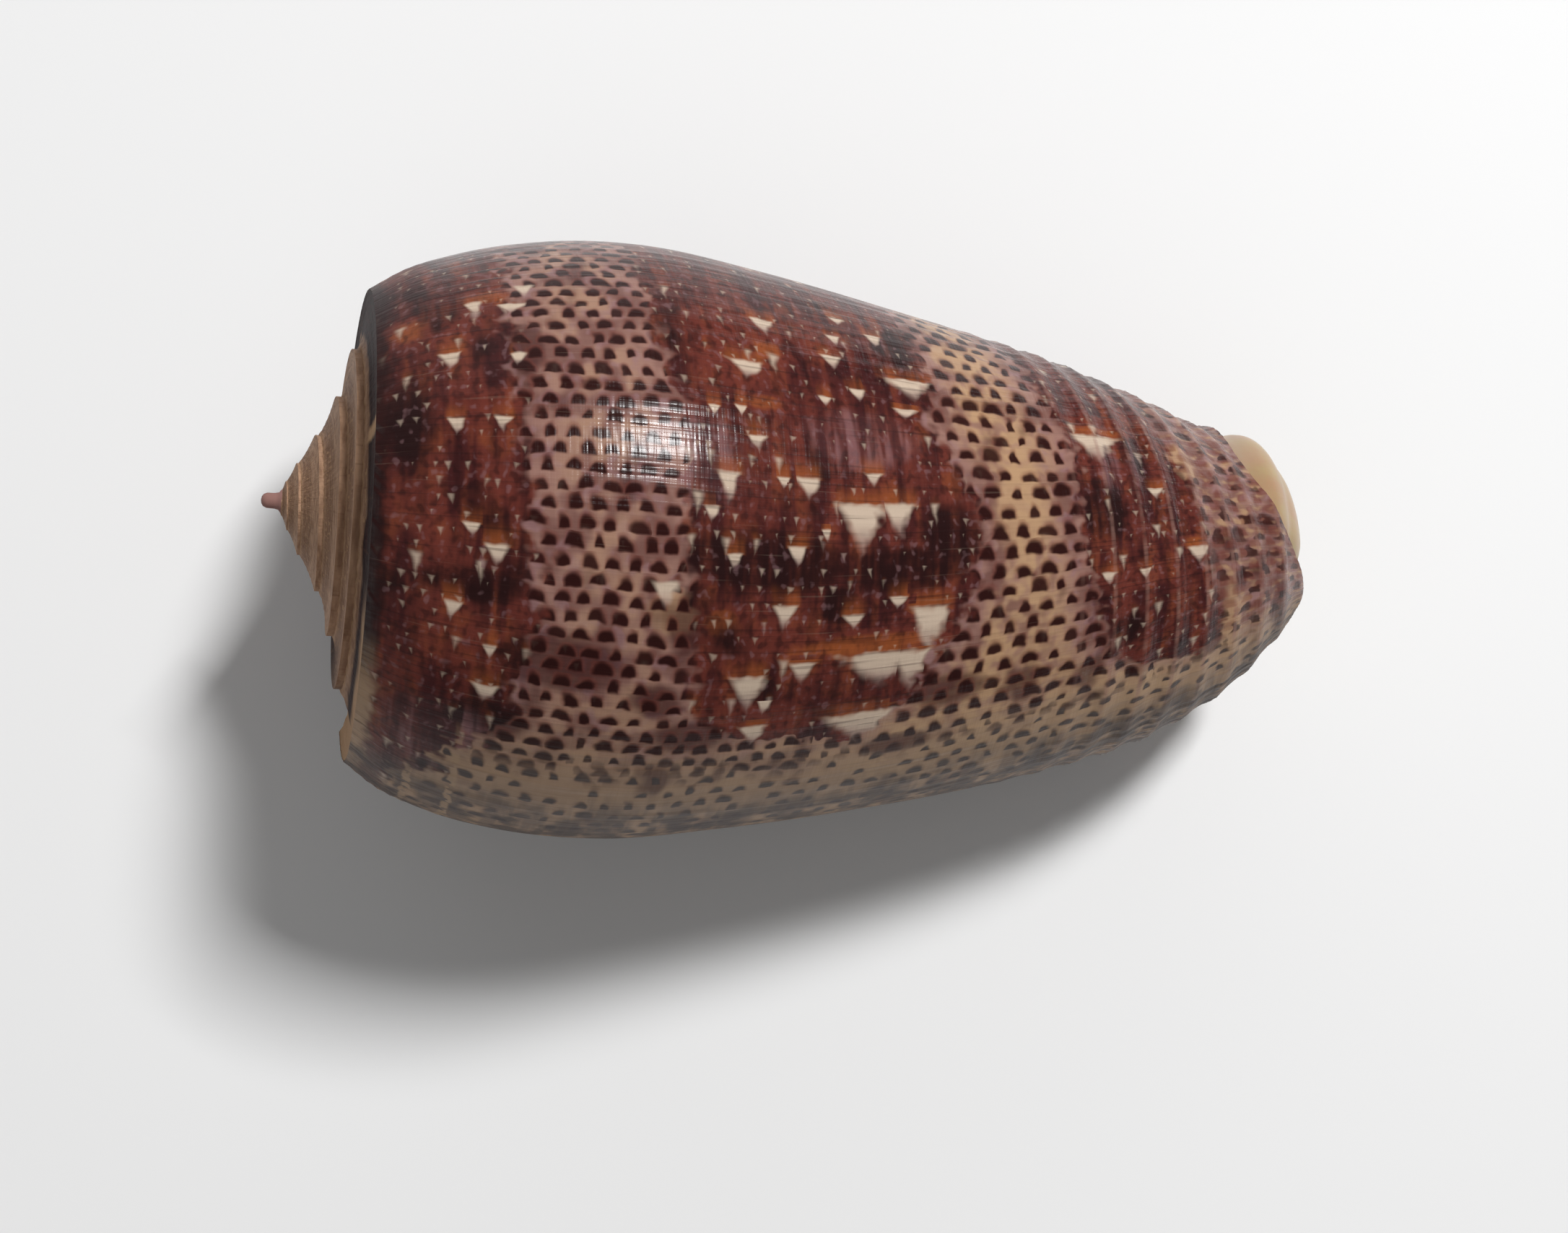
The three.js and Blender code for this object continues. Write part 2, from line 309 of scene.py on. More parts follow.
def wall_shape(along, across, side):
    row = np.rint(across * (SHELF_ACROSS + BODY_ACROSS))
    on_shelf = row < SHELF_ACROSS
    share = mix(-SHELF_OVERLAP, 1, np.clip(row / SHELF_ACROSS, 0, 1))
    run = np.clip((row - SHELF_ACROSS) / BODY_ACROSS, 0, 1)
    run = run * (1 + ROW_CROWDING * (1 - run))
    lip_place = mix(shoulder_place(0.0), MARGIN_FULL, run)
    lip = -lip_lag(np.where(on_shelf, SINUS_START, lip_place))
    turn = mix(WALL_START, lip, along)
    body = mix(shoulder_place(turn), margin_place(turn), run)
    thread = body * THREAD_GROWTH ** -turn
    age = turn + growth_lag(body)
    outer_radius = body_radius(body, turn) + cord_relief(thread) + growth_relief(age) - SINK
    shelf_radius = mix(shoulder_radius(turn - 1), shoulder_radius(turn), share)
    shelf_at = shelf_place(share, turn) - shelf_relief(share, turn)
    depth = mix(WALL, LIP_THICKNESS, smooth(along, 1 - LIP_TAPER, 1)) * side
    rise = body_radius(body + SLOPE_REACH, turn) - body_radius(body - SLOPE_REACH, turn)
    slope = rise / (2 * SLOPE_REACH)
    length = np.sqrt(1 + slope**2)
    lean = np.where(on_shelf, 0.0, smooth(run, 0, SHOULDER_BLEND))
    place = np.where(on_shelf, shelf_at + depth, body + depth * mix(1.0, slope / length, lean))
    body_at_depth = outer_radius - depth * mix(SHOULDER_THICKNESS, 1 / length, lean)
    radius = np.maximum(np.where(on_shelf, shelf_radius, body_at_depth), LEAST_RADIUS)
    first = np.where(on_shelf, share, thread / UV_SCALE)
    return place, radius, turn, first, np.where(on_shelf, turn, age)


# Spire: the older whorls, with a riser at each shoulder
SPIRE_ALONG = 900
SPIRE_ACROSS = 14
SPIRE_TURNS = (-7.0, -1.0)
SPIRE_CROWDING = 0.8
SPIRE_WALL = 0.9
RISER_ROWS = 2
RISER_DEPTH = 0.6
RISER_LEAN = 0.05
RISER_SHARE = 0.1
FULL_RELIEF_RADIUS = 7
LEAST_RELIEF = 0.15


def spire_shape(along, across, side):
    turn = mix(*SPIRE_TURNS, along ** SPIRE_CROWDING)
    row = np.rint(across * SPIRE_ACROSS)
    shelf_rows = SPIRE_ACROSS - RISER_ROWS
    share = np.clip(row / shelf_rows, 0, 1)
    below = np.clip(row - shelf_rows, 0, RISER_ROWS) / RISER_ROWS
    scale = np.clip(shoulder_radius(turn) / FULL_RELIEF_RADIUS, LEAST_RELIEF, 1)
    place = shelf_place(share, turn) - shelf_relief(share, turn) * scale
    place = place + below * RISER_DEPTH * scale + side * SPIRE_WALL * scale
    radius = mix(shoulder_radius(turn - 1), shoulder_radius(turn), share)
    radius = radius - side * RISER_LEAN * (share == 1)
    return place, radius, turn, share + RISER_SHARE * below, turn


# Inner whorls, seen through the aperture
CORE_ALONG = 150
CORE_ACROSS = 80
CORE_TURNS = (-2.0, -0.99)
CORE_PLACES = (5.4, 57.4)
CORE_GAP = 0.17
CORE_WALL = 1.0
CORE_LEAST_RADIUS = 0.3


def core_shape(along, across, side):
    turn = mix(*CORE_TURNS, along)
    place = mix(*CORE_PLACES, across)
    radius = body_radius(place, turn) - CORE_GAP - CORE_WALL * side
    return place, np.maximum(radius, CORE_LEAST_RADIUS), turn, place / UV_SCALE, turn


# Callus: the thick end of the columella next to the canal
CALLUS_ALONG = 90
CALLUS_ACROSS = 44
CALLUS_TURNS = (-1.12, -0.3)
CALLUS_GAP = 0.4
CALLUS_LAST_BODY = 55.6
CALLUS_TAPER = 0.18
CALLUS_EDGE_SHARE = 0.45
CALLUS_CORE = 0.5


def callus_shape(along, across, side):
    turn = mix(*CALLUS_TURNS, along)
    place = mix(CALLUS_PROFILE[0][0], CALLUS_PROFILE[-1][0], across)
    taper = mix(CALLUS_EDGE_SHARE, 1, smooth(1 - along, 0, CALLUS_TAPER))
    body = body_radius(np.minimum(place, CALLUS_LAST_BODY), turn) - CALLUS_GAP
    radius = mix(body * curve(CALLUS_PROFILE, place) * taper, CALLUS_CORE, side)
    return place, radius, turn, place / UV_SCALE, turn


# First whorl at the tip, and the columella's end in the canal: place, radius
NUB_STEPS = 24
NUB_OUTLINE = [
    (0, 0), (0.03, 0.18), (0.12, 0.32), (0.3, 0.4), (0.7, 0.41), (0.9, 0.46),
    (1.02, 0.62), (1.6, 0.6), (1.6, 0),
]
PLUG_STEPS = 32
PLUG_OUTLINE = [(53, 0), (53, 2.2), (56.4, 2.2), (57.4, 1.6), (57.8, 0.8), (57.88, 0)]
TURNED_SHARE = 0.5


def turned(name, outline, steps):
    """Closed solid of revolution about the coiling axis."""
    bm = bmesh.new()
    rim = [bm.verts.new((place, 0, radius)) for place, radius in outline]
    edges = [bm.edges.new(pair) for pair in zip(rim, rim[1:])]
    bmesh.ops.spin(
        bm, geom=rim + edges, cent=(0, 0, 0), axis=(1, 0, 0),
        angle=2 * math.pi, steps=steps, use_merge=True,
    )
    bmesh.ops.remove_doubles(bm, verts=bm.verts[:], dist=MERGE_DISTANCE)
    bmesh.ops.recalc_face_normals(bm, faces=bm.faces[:])
    bm.transform(Matrix.Scale(MM, 4) @ TO_ROW)
    mesh = mesh_from(name, bm)
    add_map(mesh, "growth", np.tile([TURNED_SHARE, SPIRE_TURNS[0]], len(mesh.loops)))
    return finished(name, mesh)


# Node tools
class Nodes:
    """Short calls for building one node tree."""

    def __init__(self, tree):
        self.tree = tree

    def add(self, kind, settings=None, **inputs):
        node = self.tree.nodes.new(kind)
        for key, value in (settings or {}).items():
            setattr(node, key, value)
        for key, value in inputs.items():
            self.feed(node.inputs[key.replace("_", " ")], value)
        return node

    def feed(self, socket, value):
        if isinstance(value, bpy.types.NodeSocket):
            self.tree.links.new(value, socket)
        else:
            socket.default_value = value

    def feed_all(self, sockets, values):
        for socket, value in zip(sockets, values):
            self.feed(socket, value)

    def math(self, operation, *values, clamp=False):
        node = self.tree.nodes.new("ShaderNodeMath")
        node.operation = operation
        node.use_clamp = clamp
        self.feed_all(node.inputs, values)
        return node.outputs[0]

    def plus(self, a, b):
        return self.math("ADD", a, b)

    def minus(self, a, b):
        return self.math("SUBTRACT", a, b)

    def times(self, a, b):
        return self.math("MULTIPLY", a, b)

    def over(self, a, b):
        return self.math("DIVIDE", a, b)

    def most(self, a, b):
        return self.math("MAXIMUM", a, b)

    def absolute(self, value):
        return self.math("ABSOLUTE", value)

    def ramp(self, value, low, high, start=0.0, end=1.0, kind="SMOOTHSTEP"):
        """Start where the value is low, end where it is high, and smooth between."""
        node = self.tree.nodes.new("ShaderNodeMapRange")
        node.interpolation_type = kind
        self.feed_all(node.inputs, (value, low, high, start, end))
        return node.outputs[0]

    def between(self, share, start, end):
        """Value at a share of the straight way from start to end."""
        return self.ramp(share, 0, 1, start, end, "LINEAR")

    def mix(self, share, a, b):
        node = self.tree.nodes.new("ShaderNodeMix")
        node.data_type = "RGBA"
        self.feed_all((node.inputs[0], node.inputs[6], node.inputs[7]), (share, a, b))
        return node.outputs[2]

    def vector(self, x, y, z=0.0):
        return self.add("ShaderNodeCombineXYZ", X=x, Y=y, Z=z).outputs[0]

    def noise(self, vector, scale=1.0, detail=2.0):
        node = self.add("ShaderNodeTexNoise", Vector=vector, Scale=scale, Detail=detail, Roughness=0.5)
        return node.outputs["Fac"]

    def stretched(self, x, y, x_scale, y_scale, seed, detail):
        """Noise with a scale of its own in each direction."""
        flow = self.vector(self.times(x, x_scale), self.times(y, y_scale), seed)
        return self.noise(flow, 1.0, detail)

    def cell(self, vector):
        """Three random values of a lattice cell."""
        node = self.add("ShaderNodeTexWhiteNoise", {"noise_dimensions": "3D"}, Vector=vector)
        parts = self.add("ShaderNodeSeparateColor", Color=node.outputs["Color"])
        return parts.outputs[0], parts.outputs[1], parts.outputs[2]


def group(name, inputs, outputs, build):
    """Node group of floats; build gets its Nodes and inputs, returns the outputs."""
    tree = bpy.data.node_groups.new(name, "ShaderNodeTree")
    for label in inputs:
        tree.interface.new_socket(name=label, in_out="INPUT", socket_type="NodeSocketFloat")
    for label in outputs:
        tree.interface.new_socket(name=label, in_out="OUTPUT", socket_type="NodeSocketFloat")
    nodes = Nodes(tree)
    entry = tree.nodes.new("NodeGroupInput")
    leave = tree.nodes.new("NodeGroupOutput")
    results = build(nodes, *entry.outputs[: len(inputs)])
    for socket, result in zip(leave.inputs, results):
        nodes.feed(socket, result)
    return tree


def use(nodes, tree, *values):
    """Adds a group node and returns its outputs."""
    node = nodes.tree.nodes.new("ShaderNodeGroup")
    node.node_tree = tree
    nodes.feed_all(node.inputs, values)
    return list(node.outputs)


def lattice(n, thread, age, pitch, rows, seed, shift):
    """Place in the cell and three random values of a staggered lattice."""
    y = n.times(age, rows)
    row = n.math("FLOOR", y)
    x = n.plus(n.over(thread, pitch), n.times(row, shift))
    column = n.math("FLOOR", x)
    fx = n.minus(n.minus(x, column), 0.5)
    return fx, n.minus(y, row), n.cell(n.vector(column, row, seed))


# Dots: shift from row to row, jitter, ranges of half width and height in sizes,
# range of the flat side's place in its cell, and how square the round side is
DOT_SHIFT = 0.5
DOT_JITTER = 0.08
DOT_HALF = (0.65, 1.2)
DOT_TALL = (1.7, 2.5)
DOT_FLAT = (0.8, 0.96)
DOT_POWER = 2.3


def build_dots(n, thread, age, pitch, rows, size, present):
    """Half-moon dots with their flat side towards the lip, and a halo round each."""
    fx, fy, (r1, r2, r3) = lattice(n, thread, age, pitch, rows, pitch, DOT_SHIFT)
    fx = n.plus(fx, n.between(r3, -DOT_JITTER, DOT_JITTER))
    half = n.times(size, n.between(r1, *DOT_HALF))
    tall = n.times(size, n.between(r2, *DOT_TALL))
    flat = n.between(n.math("FRACT", n.times(r1, 7.0)), *DOT_FLAT)
    up = n.over(n.minus(flat, fy), tall)
    across = n.math("POWER", n.absolute(n.over(fx, half)), DOT_POWER)
    away = n.plus(across, n.math("POWER", n.absolute(up), DOT_POWER))
    mask = n.times(n.ramp(away, 0.45, 1.5, 1, 0), n.ramp(up, -0.14, 0.12))
    shown = n.times(n.math("LESS_THAN", r2, present), n.ramp(r3, 0, 0.3, 0.94, 1.0))
    halo = n.times(n.ramp(away, 0.8, 2.6, 1, 0), n.ramp(up, -0.2, 0.2))
    return [n.times(mask, shown), n.times(halo, shown)]


# Tents: shift from row to row, jitter, range of sizes, the flat side's place in
# its cell, and the height of the largest in cells
TENT_SHIFT = 0.37
TENT_JITTER = 0.2
TENT_SIZES = (0.3, 1.0)
TENT_FLAT = 0.32
TENT_TALL = 0.6


def build_tents(n, thread, age, pitch, rows, width, share):
    """Scattered triangles with their point towards the lip, and the glow above
    their flat side."""
    fx, fy, (r1, r2, r3) = lattice(n, thread, age, pitch, rows, rows, TENT_SHIFT)
    present = n.math("LESS_THAN", r1, share)
    size = n.between(r2, *TENT_SIZES)
    side = n.absolute(n.plus(fx, n.between(r3, -TENT_JITTER, TENT_JITTER)))
    down = n.over(n.minus(fy, TENT_FLAT), n.times(size, TENT_TALL))
    reach = n.times(width, size)
    inside = n.minus(n.times(reach, n.minus(1.0, down)), side)
    mask = n.times(n.ramp(inside, -0.05, 0.16), n.ramp(down, -0.12, 0.16))
    above = n.times(n.ramp(down, -0.6, 0.0), n.math("LESS_THAN", down, 0.02))
    glow = n.times(n.ramp(n.minus(reach, side), -0.06, 0.08), above)
    return [n.times(mask, present), n.times(glow, present)]


DOT_INPUTS = ["Thread", "Age", "Pitch", "Rows", "Size", "Present"]
TENT_INPUTS = ["Thread", "Age", "Pitch", "Rows", "Width", "Share"]
DOTS = group("half moon dots", DOT_INPUTS, ["Mask", "Halo"], build_dots)
TENTS = group("tents", TENT_INPUTS, ["Mask", "Glow"], build_tents)

# Colours, linear
MAROON = (0.05, 0.0115, 0.0115, 1)
CHOCOLATE = (0.019, 0.006, 0.006, 1)
RUST = (0.145, 0.032, 0.022, 1)
AMBER = (0.3, 0.08, 0.022, 1)
MAUVE = (0.18, 0.085, 0.07, 1)
CREAM = (0.44, 0.27, 0.15, 1)
LILAC = (0.27, 0.15, 0.16, 1)
BLUSH = (0.29, 0.155, 0.125, 1)
SAND = (0.38, 0.25, 0.15, 1)
PEARL = (0.55, 0.43, 0.33, 1)
SMOKE = (0.105, 0.075, 0.062, 1)
SLATE = (0.045, 0.03, 0.028, 1)
DOT = (0.022, 0.0045, 0.004, 1)
YOLK = (0.44, 0.32, 0.16, 1)
TAN = (0.43, 0.265, 0.17, 1)
UMBER = (0.1, 0.04, 0.022, 1)
PINK = (0.28, 0.15, 0.13, 1)

# Edges of the light bands in the photo: (age in turns, thread in mm)
BAND_A_LEFT = [
    (-0.6, 12), (-0.5, 12.2), (-0.45, 12.4), (-0.38, 12.9), (-0.32, 13.3), (-0.285, 13.1),
    (-0.265, 12.6), (-0.25, 11.7), (-0.23, 10.2), (-0.21, 8.6), (-0.18, 7.2), (-0.1, 7),
]
BAND_A_RIGHT = [
    (-0.6, 19.3), (-0.49, 19.9), (-0.44, 20.6), (-0.38, 21.3), (-0.3, 21.7), (-0.272, 22.5),
    (-0.256, 27), (-0.245, 34), (-0.1, 34),
]
BAND_B_LEFT = [
    (-0.6, 35), (-0.5, 35.7), (-0.48, 35.9), (-0.45, 35.2), (-0.42, 36.2), (-0.4, 37.3),
    (-0.35, 37.6), (-0.33, 37), (-0.31, 36.2), (-0.29, 34.8), (-0.27, 33), (-0.25, 31), (-0.1, 30),
]
BAND_B_RIGHT = [
    (-0.6, 43), (-0.53, 43.2), (-0.5, 43.6), (-0.46, 44.1), (-0.43, 44.7), (-0.37, 44.4),
    (-0.34, 44.9), (-0.31, 45.4), (-0.28, 46.2), (-0.26, 48), (-0.245, 52), (-0.1, 56),
]
CANAL_BAND_LEFT = [
    (-0.6, 50.5), (-0.53, 51.2), (-0.48, 51.5), (-0.42, 52.3), (-0.38, 53.3), (-0.33, 53.2),
    (-0.3, 53.7), (-0.27, 54.2), (-0.25, 53), (-0.23, 48), (-0.1, 46),
]
DASHED_LINES = [(10.4, -0.26), (8.2, -0.22)]
EDGE_FIRST = -0.6
EDGE_SPAN = 0.5

# Tents in the photo: thread, age of the flat side, width in mm, height in turns
BIG_TENTS = [
    (13.05, -0.512, 1.1, 0.013), (10.3, -0.501, 1.1, 0.012), (12.25, -0.496, 1.5, 0.009),
    (9.0, -0.463, 1.3, 0.012), (12.4, -0.459, 0.9, 0.008), (11.55, -0.422, 0.9, 0.009),
    (9.25, -0.421, 0.9, 0.009), (26.2, -0.499, 1.5, 0.013), (30.5, -0.4975, 1.0, 0.009),
    (31.2, -0.5175, 1.1, 0.008), (30.0, -0.479, 1.4, 0.01), (33.2, -0.506, 1.2, 0.011),
    (24.7, -0.4645, 2.2, 0.012), (31.2, -0.457, 1.1, 0.008), (34.6, -0.47, 3.4, 0.015),
    (34.0, -0.4475, 1.6, 0.007), (29.1, -0.449, 0.8, 0.006), (22.6, -0.434, 0.7, 0.006),
    (24.1, -0.436, 0.7, 0.006), (24.9, -0.421, 1.3, 0.008), (23.25, -0.4005, 1.4, 0.017),
    (22.3, -0.3825, 0.9, 0.008), (27.7, -0.401, 1.5, 0.012), (26.3, -0.4, 0.8, 0.006),
    (31.5, -0.406, 1.2, 0.008), (30.75, -0.3885, 2.8, 0.029), (32.9, -0.3895, 2.2, 0.019),
    (28.7, -0.374, 0.6, 0.006), (23.55, -0.3605, 1.0, 0.008), (27.05, -0.365, 1.1, 0.01),
    (32.9, -0.3375, 1.1, 0.007), (26.5, -0.3355, 1.5, 0.014), (30.4, -0.329, 1.3, 0.008),
    (34.9, -0.331, 2.3, 0.034), (32.3, -0.307, 5.8, 0.022), (34.0, -0.3065, 2.6, 0.028),
    (27.75, -0.304, 1.6, 0.012), (24.9, -0.2975, 2.1, 0.021), (25.9, -0.284, 0.9, 0.01),
    (9.4, -0.325, 1.0, 0.012), (11.4, -0.304, 0.8, 0.007), (11.4, -0.2825, 1.5, 0.011),
    (20.0, -0.345, 1.7, 0.013), (11.4, -0.356, 1.3, 0.011), (10.1, -0.3655, 0.9, 0.006),
    (31.5, -0.2695, 4.6, 0.022), (25.5, -0.2675, 1.7, 0.013), (46.5, -0.443, 3.6, 0.026),
    (52.6, -0.347, 1.6, 0.016), (46.1, -0.336, 1.0, 0.009), (48.6, -0.335, 0.9, 0.009),
    (50.1, -0.399, 1.2, 0.01),
]

# Soft patches in the photo: thread, age, half width in mm, half height in turns
WARM_PLACES = [
    (9.0, -0.483, 2.6, 0.02), (24.0, -0.475, 3.6, 0.035), (29.2, -0.49, 1.8, 0.02),
    (11.5, -0.43, 1.4, 0.01), (10.8, -0.381, 0.9, 0.006), (24.3, -0.318, 3.0, 0.018),
    (10.5, -0.303, 2.8, 0.017), (25.5, -0.27, 3.4, 0.014), (47.0, -0.455, 2.6, 0.01),
    (48.0, -0.33, 3.0, 0.012), (8.4, -0.36, 1.2, 0.012),
]
AMBER_PLACES = [
    (31.5, -0.312, 4.8, 0.008), (26.2, -0.475, 1.2, 0.008), (25.5, -0.44, 1.5, 0.006),
    (23.0, -0.326, 1.2, 0.009), (52.3, -0.351, 1.0, 0.006), (6.9, -0.487, 1.2, 0.012),
    (11.3, -0.504, 1.2, 0.008), (47.0, -0.447, 2.4, 0.004), (37.5, -0.449, 0.8, 0.004),
]
DARK_PLACES = [
    (12.9, -0.461, 1.0, 0.02), (34.3, -0.496, 1.4, 0.021), (25.5, -0.357, 5.2, 0.016),
    (33.0, -0.352, 3.6, 0.014), (36.2, -0.37, 2.0, 0.022), (46.3, -0.382, 1.7, 0.023),
    (10.3, -0.335, 2.8, 0.01), (34.0, -0.24, 2.2, 0.009), (20.0, -0.284, 1.4, 0.01),
    (47.5, -0.29, 1.3, 0.015), (7.0, -0.42, 1.4, 0.03), (55.2, -0.35, 0.7, 0.014),
    (55.8, -0.31, 0.6, 0.012), (53.6, -0.25, 0.8, 0.014), (59.3, -0.25, 1.0, 0.05),
    (29.5, -0.335, 1.2, 0.012), (15.0, -0.301, 3.4, 0.016), (36.5, -0.275, 2.2, 0.012),
    (11.5, -0.262, 2.4, 0.012), (22.0, -0.262, 2.2, 0.01),
]
# Lilac streaks along the band where the key light's reflection runs, and on the lip side: partly the
# shell's own lilac, partly painted sheen
LILAC_SHEEN_PLACES = [
    (22.0, -0.405, 1.8, 0.025), (31.0, -0.425, 3.5, 0.018), (47.1, -0.413, 0.8, 0.022),
    (48.9, -0.42, 0.4, 0.03), (54.6, -0.41, 1.6, 0.03), (35.0, -0.2, 2.5, 0.02),
    (9.5, -0.24, 2.8, 0.03),
]
CREAM_PLACES = [
    (40.6, -0.385, 2.0, 0.035), (38.4, -0.5, 1.5, 0.02), (52.8, -0.425, 1.2, 0.022),
    (55.0, -0.26, 0.8, 0.055), (20.6, -0.33, 1.6, 0.012), (38.5, -0.46, 1.2, 0.01),
]


def growth_values(n):
    """The two values of the UV map: thread or share, and age."""
    uv = n.add("ShaderNodeUVMap", {"uv_map": "growth"}).outputs[0]
    parts = n.add("ShaderNodeSeparateXYZ", Vector=uv)
    return parts.outputs[0], parts.outputs[1]


def material(name):
    made = bpy.data.materials.new(name)
    made.use_nodes = True
    made.node_tree.nodes.clear()
    n = Nodes(made.node_tree)
    shader = n.add("ShaderNodeBsdfPrincipled")
    out = n.add("ShaderNodeOutputMaterial")
    made.node_tree.links.new(shader.outputs[0], out.inputs[0])
    return made, n, shader


BAND_EDGE = (-0.5, 0.5)
BAND_MIDDLE = (0.5, 3.5)


def edge_line(n, age, stations):
    """Thread at which a band's edge lies, by age."""
    node = n.tree.nodes.new("ShaderNodeFloatCurve")
    line = node.mapping.curves[0]
    spots = [((at - EDGE_FIRST) / EDGE_SPAN, thread / UV_SCALE) for at, thread in stations]
    line.points[0].location = spots[0]
    line.points[1].location = spots[-1]
    for spot in spots[1:-1]:
        line.points.new(*spot)
    node.mapping.update()
    since = n.minus(age, EDGE_FIRST)
    n.feed(node.inputs["Value"], n.math("DIVIDE", since, EDGE_SPAN, clamp=True))
    return n.times(node.outputs[0], UV_SCALE)


def band_depth(n, thread, age, left, right=None):
    """How far inside a light band a place lies, in millimetres."""
    depth = n.minus(thread, edge_line(n, age, left))
    if right:
        depth = n.math("MINIMUM", depth, n.minus(edge_line(n, age, right), thread))
    return depth


PATCH_REACH = 1.7
AMBER_WEIGHT = 2


def patch_value(places, thread, age):
    """Largest of the soft patches at the given places, for each mesh vertex."""
    total = np.zeros_like(thread)
    for centre, at, width, height in places:
        away = ((thread - centre) / width) ** 2 + ((age - at) / height) ** 2
        total = np.maximum(total, 1 - smooth(away, 0.0, PATCH_REACH))
    return total


def paint_patches(piece, thread, age):
    """Colour attribute with the shares of warm, dark, lilac sheen and cream."""
    amber = AMBER_WEIGHT * patch_value(AMBER_PLACES, thread, age)
    shares = [np.maximum(patch_value(WARM_PLACES, thread, age), amber)]
    shares += [patch_value(places, thread, age) for places in (DARK_PLACES, LILAC_SHEEN_PLACES, CREAM_PLACES)]
    layer = piece.data.color_attributes.new("patches", "FLOAT_COLOR", "POINT")
    layer.data.foreach_set("color", np.stack(shares, axis=-1).ravel())


# A face belongs to the placed tent that it fits best. The glow above a tent has
# the same height in turns for all, and counts less than a tent itself.
GLOW_TURNS = 0.012
REACH = 1.2
LEAST_FIT = 0.25
GLOW_FIT = 0.4
ABOVE_TENT = -0.05
NO_TENT = -9.0


def paint_tents(piece, thread, age):
    """UV map that holds each face's place in the tent that it belongs to:
    across it in widths, and down from its flat side in heights."""
    quads = corners_of(piece.data).reshape(-1, 4)
    across = np.zeros(quads.shape)
    down = np.full(quads.shape, NO_TENT)
    best = np.full(len(quads), LEAST_FIT)
    for centre, start, width, height in BIG_TENTS:
        side = (thread[quads] - centre) / width
        below = (age[quads] - start) / height
        drop = np.where(below < 0, (age[quads] - start) / GLOW_TURNS, below)
        middle = below.mean(axis=1)
        fit = 1 + 0.5 * (1 - np.maximum(middle, 0)) - np.abs(side.mean(axis=1))
        fit[middle < ABOVE_TENT] *= GLOW_FIT
        fit = np.where((drop.mean(axis=1) > -REACH) & (middle < REACH), fit, 0)
        chosen = fit > best
        across[chosen] = side[chosen]
        down[chosen] = drop[chosen]
        best = np.maximum(best, fit)
    add_map(piece.data, "tents", np.stack([across, down], axis=-1))


# Noises of the pattern: scale along the axis and along the growth, seed, detail
STREAKS = (1.2, 0.14, 3.0, 2.0)
PATCHES = (0.3, 0.2, 9.0, 2.0)
GROWTH_LINES = (0.15, 4.2, 5.0, 2.0)
STRIAE = (4.2, 0.35, 2.0, 1.0)
MOTTLING = (2.0, 1.6, 7.0, 1.0)

# One turn of the last whorl is about as many millimetres long
TURN_LENGTH = 100.0

# Rows of dots: pitch along the axis in mm, and rows in a turn
DOTS_A = (1.27, 112.0)
DOTS_B = (1.5, 82.0)
DOTS_CANAL = (1.7, 52.0)
DOTS_LIP = (1.35, 84.0)
SECOND_BAND = 29.0
CANAL = 49.5

# Scattered tents: pitch along the axis in mm, rows in a turn, half width in cells
SPECKS = (0.85, 115.0, 0.26)
SMALL_TENTS = (1.9, 48.0, 0.2)
LARGE_TENTS = (3.3, 27.0, 0.32)

COLUMN_PITCH = 1.7
DASHES_PER_TURN = 160.0
DASH_TURNS = 0.03
PATTERN_GLOSS = 0.18
SPIRE_GLOSS = 0.03


def ragged_patch(n, value, ragged):
    """Patch with ragged edges, and nothing where there is none."""
    return n.times(n.ramp(n.plus(value, ragged), 0.1, 0.9), n.ramp(value, 0.0, 0.3))


